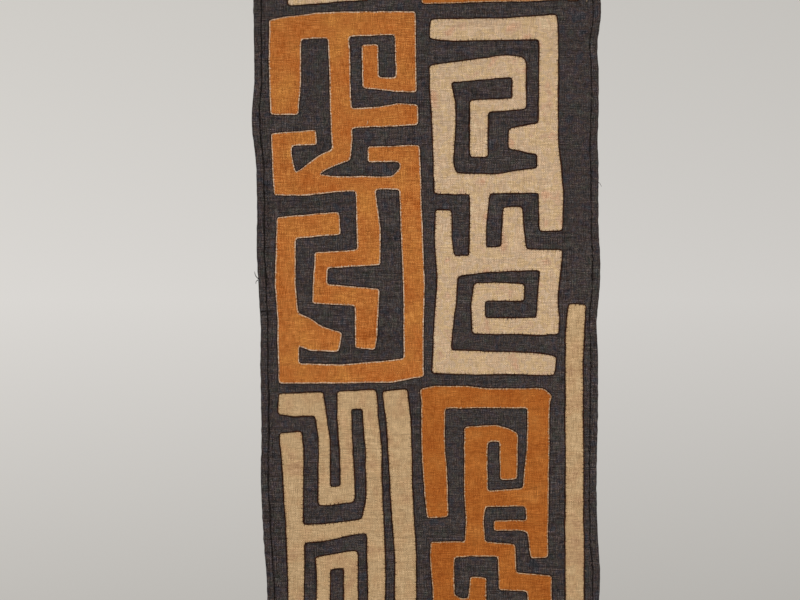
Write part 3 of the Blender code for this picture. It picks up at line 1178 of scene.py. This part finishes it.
    def inward(self, x: Floats, z: Floats) -> Floats:
        """Distance of points from the nearest cut edge.

        Args:
            x: places across.
            z: heights.

        Returns:
            The distances.
        """
        dense = np.concatenate([resample(loop, self.edge_pitch) for loop in self.loops])
        tree = kdtree.KDTree(len(dense))
        for index, (a, c) in enumerate(dense):
            tree.insert((a, 0, c), index)
        tree.balance()
        return np.array([tree.find((a, 0, c))[2] for a, c in zip(x, z)])

    def build(self) -> None:
        """Build the cloth piece over its solid."""
        mesh = self.flat_outline()
        self.soften(mesh)
        mesh.verts.index_update()
        self.loops = self.trace(mesh)
        self.cut_cloth(mesh)
        places = coordinates(mesh)
        x, z = places[:, 0], places[:, 2]
        inward = self.inward(x, z)
        rows = np.array(self.profile) * MM
        stand = np.interp(inward, rows[:, 0], rows[:, 1])
        swell = [
            noise.noise(Vector((a / self.puff_length, self.seed, c / self.puff_length)))
            for a, c in zip(x, z)
        ]
        stand = stand + self.puff_height * np.array(swell) * np.clip(inward / self.puff_edge, 0, 1)
        places[:, 1] = self.hang.front(x, z) - stand
        move_points(mesh.verts, places)
        close_sheet(mesh, lambda a, c: self.hang.front(a, c) - self.back_gap)
        data = mesh_from(mesh, f"{self.node}_sheet")
        piece = place_piece(data, self.finish, self.cloth)
        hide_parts(self.node)
        self.pieces.append(piece)

    def lay_cord(
        self, name: str, finish: ThreadFinish, radius: float, offset: float, out: float, bead: float
    ) -> None:
        """Lay a thread along the cut edge.

        Args:
            name: what kind of thread it is.
            finish: its material.
            radius: its radius.
            offset: how far outside the edge it lies, negative for inside.
            out: how far its centre stands in front of the ground cloth.
            bead: share by which the stitches over it pinch it.
        """
        lines, radii = [], []
        (slow, long), (quick, short) = self.cord_swells
        for loop in self.loops:
            dense = resample(loop, self.cord_pitch)
            beside = dense + outward_normals(dense) * offset
            lines.append(self.hang.before(beside[:, 0], beside[:, 1], out))
            walk = np.arange(len(dense)) * self.cord_pitch
            uneven = slow * np.sin(walk / long + self.seed) + quick * np.sin(walk / short)
            radii.append(radius * (1 + uneven + bead * np.sin(math.tau * walk / self.bead_length)))
        data = tube_mesh(f"{self.node}_{name}", lines, radii, closed=True)
        self.pieces.append(place_piece(data, finish, self.cloth))

    def whip(
        self, name: str, finish: ThreadFinish, stitch: Stitch, pitch: float, inset: float
    ) -> None:
        """Sew the piece down with short stitches across its edge.

        Args:
            name: what kind of stitches they are.
            finish: their thread.
            stitch: one stitch.
            pitch: the distance between stitches.
            inset: how far inside the edge their middles lie, as a share of a stitch.
        """
        draw = np.random.default_rng(self.seed)
        centres, headings = [], []
        for loop in self.loops:
            dense = resample(loop, pitch)
            outward = outward_normals(dense)
            tilt = np.radians(draw.uniform(-self.whip_tilt, self.whip_tilt, len(dense)))
            x = outward[:, 0] * np.cos(tilt) - outward[:, 1] * np.sin(tilt)
            z = outward[:, 0] * np.sin(tilt) + outward[:, 1] * np.cos(tilt)
            headings.append(np.column_stack([x, z]))
            inside = dense - outward * (inset * stitch.length)
            centres.append(self.hang.before(inside[:, 0], inside[:, 1], self.whip_out))
        middles = np.concatenate(centres)
        sizes = draw.uniform(*self.whip_sizes, len(middles))
        data = stitch.run(f"{self.node}_{name}", middles, np.concatenate(headings), sizes)
        self.pieces.append(place_piece(data, finish, self.cloth))

    def sew(self) -> None:
        """Lay the edge threads and stitches that the cloth's colour calls for. Round an orange piece,
        the dark brown thread just outside the edge is partly sewing thread and partly painted shadow of
        the raised edge.
        """
        if self.cloth is Cloth.ORANGE:
            deep = self.finish is DEEP_ORANGE_FINISH
            pale, radius = (RUSTY_THREAD, 0.8 * MM) if deep else (PALE_THREAD, 0.95 * MM)
            self.lay_cord("edge_thread", pale, radius, offset=-0.75 * MM, out=1.15 * MM, bead=0.4)
            # Painted shadow: a dark brown thread just outside the edge, partly sewing thread, partly
            # the shade of the raised edge on the ground cloth.
            self.lay_cord(
                "painted_shadow_thread", BROWN_THREAD_AND_SHADOW, 0.95 * MM, offset=0.75 * MM, out=0.6 * MM, bead=0.2
            )
            self.whip("stitches", pale, Stitch(3.6 * MM, 0.5 * MM), pitch=6.0 * MM, inset=0.35)
            short = Stitch(3.2 * MM, 0.45 * MM)
            self.whip("shadow_stitches", BROWN_THREAD_AND_SHADOW, short, pitch=8.3 * MM, inset=0.1)
        else:
            self.lay_cord(
                "edge_thread", BROWN_THREAD_AND_SHADOW, 1.2 * MM, offset=1.0 * MM, out=0.8 * MM, bead=0.2
            )
            long = Stitch(3.8 * MM, 0.42 * MM)
            self.whip("stitches", BROWN_THREAD_AND_SHADOW, long, pitch=7.4 * MM, inset=0.25)

    def declare(self) -> None:
        sheet, *threads = self.pieces
        box = np.array([self.loops[0].min(axis=0), self.loops[0].max(axis=0)])
        width, length = (float(side) for side in box[1] - box[0])
        area = min(sum(self.signed_area(loop) for loop in self.loops), width * length)
        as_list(threads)


def resample(loop: Loop, pitch: float) -> Loop:
    """Place points evenly round a closed loop.

    Args:
        loop: the loop's points.
        pitch: the wanted distance between points.

    Returns:
        The evenly placed points.
    """
    closed = np.vstack([loop, loop[:1]])
    walked = np.concatenate([[0], np.cumsum(np.hypot(*np.diff(closed, axis=0).T))])
    count = max(int(round(walked[-1] / pitch)), FEWEST_POINTS)
    places = np.arange(count) * walked[-1] / count
    return np.column_stack([np.interp(places, walked, closed[:, axis]) for axis in (0, 1)])


def outward_normals(loop: Loop) -> Loop:
    """Unit directions off the cloth at a loop's points.

    Args:
        loop: the loop's points, with cloth on its left.

    Returns:
        One direction for each point.
    """
    ahead = np.roll(loop, -2, axis=0) - np.roll(loop, 2, axis=0)
    ahead = ahead / np.maximum(np.hypot(*ahead.T), 1e-9)[:, None]
    return np.column_stack([ahead[:, 1], -ahead[:, 0]])


@dataclass(frozen=True)
class LooseThread:
    """One frayed thread end or stray stitch, in mm across and below the top edge."""

    across: float
    depth: float
    reach: Pair
    curl: float
    radius: float
    out: float
    finish: ThreadFinish
    points: int = 9
    # The thread's thickness at its start, and how much thinner its end is.
    taper: Pair = (1.1, 0.6)

    def lay(self, name: str) -> bpy.types.Object:
        """Lay the thread where it lies on the cloth or stands off its edge.

        Args:
            name: the piece's name.

        Returns:
            The thread's object.
        """
        walk = np.linspace(0, 1, self.points)
        bow = self.curl * np.sin(math.pi * walk) / math.hypot(*self.reach)
        x = (self.across + self.reach[0] * walk + self.reach[1] * bow) * MM
        z = -(self.depth + self.reach[1] * walk - self.reach[0] * bow) * MM
        radius = self.radius * MM * (self.taper[0] - self.taper[1] * walk)
        data = tube_mesh(name, [HANG.before(x, z, self.out * MM)], [radius])
        return place_piece(data, self.finish, Cloth.DARK)


LOOSE_THREADS = (
    LooseThread(-304, 592, (-7, -13), 2.0, 0.8, 1.2, BLACK_THREAD_AND_SHADE),
    LooseThread(-305, 594, (-4, 7), -1.5, 0.7, 1.2, BLACK_THREAD_AND_SHADE),
    LooseThread(-301, 651, (24, -1), 0.8, 1.0, 1.9, BLACK_THREAD_AND_SHADE),
    LooseThread(304, 418, (7, 9), 1.5, 0.5, 0.5, BLACK_THREAD_AND_SHADE),
    LooseThread(283, 58, (2, 37), 1.0, 0.7, 0.9, STRAW_THREAD),
    LooseThread(156, 262, (7, 4), 1.2, 0.45, 1.2, STRAW_THREAD),
    LooseThread(279, 1111, (5, 5), -1.0, 0.45, 1.0, STRAW_THREAD),
    LooseThread(-108, 309, (-3, 8), 1.0, 0.45, 1.2, STRAW_THREAD),
    LooseThread(-11, 795, (-6, 2), 1.0, 0.45, 1.1, PALE_THREAD),
)

# Each sewn piece: its solid, cloth and finish.
SEWN = (
    ("orange_upper", Cloth.ORANGE, ORANGE_FINISH),
    ("cream_upper", Cloth.CREAM, CREAM_FINISH),
    ("cream_lower", Cloth.CREAM, TAN_FINISH),
    ("cream_arch", Cloth.CREAM, TAN_FINISH),
    ("cream_post", Cloth.CREAM, TAN_FINISH),
    ("orange_lower", Cloth.ORANGE, DEEP_ORANGE_FINISH),
    ("cream_rail", Cloth.CREAM, TAN_FINISH),
    ("cream_head", Cloth.CREAM, CREAM_FINISH),
    ("orange_head", Cloth.ORANGE, DEEP_ORANGE_FINISH),
    ("cream_tab", Cloth.CREAM, CREAM_FINISH),
)


@dataclass(frozen=True)
class Studio:
    """Pale floor, soft lights and the level camera."""

    # Tones of the surroundings below, level with and above the camera.
    surroundings: Stops = ((0.08, "#BDBAB5"), (0.5, "#D8D5D1"), (0.92, "#CDCAC5"))
    rise_range: Pair = (-0.2, 0.2)
    # From left to right they darken by this much.
    turn_range: Pair = (-0.25, 0.25)
    turn_fade: Pair = (1.03, 0.9)
    floor_tones: Stops = ((0.3, "#D2CFCA"), (0.7, "#DAD7D2"))
    floor_roughness: Pair = (0.75, 0.9)
    floor_grain: float = 40.0
    floor_drop: float = 0.12
    floor_side: float = 3.0
    camera_distance: float = 3.2
    camera_across: float = -50 * MM
    camera_height: float = -630 * MM
    seen_width: float = 1.44
    sensor: float = 36.0

    def floor(self) -> None:
        """Lay a plain pale floor below the hanging cloth."""
        mesh = bmesh.new()
        bmesh.ops.create_grid(mesh, x_segments=1, y_segments=1, size=self.floor_side / 2)
        bmesh.ops.translate(mesh, verts=mesh.verts, vec=(0, 0, -HANG.length - self.floor_drop))
        slab = put("studio_floor", mesh_from(mesh, "studio_floor"))
        paint, tree = new_material("matte_floor_paint")
        shader = tree.nodes["Principled BSDF"]
        grain = add_node(tree, "ShaderNodeTexNoise", {"Scale": self.floor_grain}).outputs["Fac"]
        tree.links.new(ramp_node(tree, grain, self.floor_tones), shader.inputs["Base Color"])
        rough = range_node(tree, grain, given=self.floor_roughness)
        tree.links.new(rough, shader.inputs["Roughness"])
        slab.data.materials.append(paint)

    def lamp(self, name: str, place: Vector, size: float, power: float, tone: str) -> None:
        """Hang one soft area lamp that faces the cloth's middle.

        Args:
            name: the lamp's name.
            place: where it hangs.
            size: its side.
            power: its power in watts.
            tone: its colour.
        """
        light = bpy.data.lights.new(name, "AREA")
        light.shape = "SQUARE"
        light.size = size
        light.energy = power
        light.color = linear(tone)[:3]
        lamp = put(name, light)
        lamp.location = place
        aim = Vector((0, 0, self.camera_height)) - place
        lamp.rotation_euler = aim.to_track_quat("-Z", "Y").to_euler()

    def light(self) -> None:
        """Set the pale surroundings, a little darker up, down and to the right, and the lamps."""
        world = bpy.data.worlds.new("pale_surroundings")
        world.use_nodes = True
        tree = world.node_tree
        bearing = add_node(tree, "ShaderNodeTexCoord").outputs["Generated"]
        split = add_node(tree, "ShaderNodeSeparateXYZ", links={"Vector": bearing})
        rise = range_node(tree, split.outputs["Z"], self.rise_range)
        fade = range_node(tree, split.outputs["X"], self.turn_range, self.turn_fade)
        level = ramp_node(tree, rise, self.surroundings)
        tone = mix_node(tree, "RGBA", 1.0, level, fade, "MULTIPLY")
        tree.links.new(tone, tree.nodes["Background"].inputs["Color"])
        bpy.context.scene.world = world
        self.lamp("key_lamp", Vector((0.95, -1.9, -0.35)), 0.8, 13, "#FFFAF4")
        self.lamp("fill_lamp", Vector((-1.0, -1.9, -0.6)), 0.9, 8, "#F8FAFF")
        self.lamp("back_lamp", Vector((0.6, 2.4, 0.2)), 1.4, 12, "#FFFFFF")

    def camera(self) -> None:
        """Set the level camera that faces the cloth."""
        view = bpy.data.cameras.new("front_view")
        view.sensor_width = self.sensor
        view.lens = self.sensor * self.camera_distance / self.seen_width
        holder = put("front_view", view)
        holder.location = (self.camera_across, -self.camera_distance, self.camera_height)
        holder.rotation_euler = (math.pi / 2, 0, 0)
        bpy.context.scene.camera = holder

    def build(self) -> None:
        """Build the whole studio."""
        bpy.context.scene.view_settings.view_transform = "Standard"
        self.floor()
        self.light()
        self.camera()


def main() -> None:
    """Build the cloth, its sewn pieces and the studio."""
    logging.basicConfig(level=logging.INFO, format="%(message)s")
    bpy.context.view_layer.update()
    Studio().build()
    ground = GroundCloth()
    ground.build()
    ground.sew_hems()
    ground.lay_crease_threads_and_shade()
    ground.baste()
    ground.whip_edges()
    for seed, (node, cloth, finish) in enumerate(SEWN, start=1):
        piece = SewnPiece(node, cloth, finish, seed)
        piece.build()
        piece.sew()
        piece.declare()
    for number, thread in enumerate(LOOSE_THREADS, start=1):
        ground.pieces.append(thread.lay(f"loose_thread_{number}"))
    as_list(ground.pieces[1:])


if __name__ == "__main__":
    main()
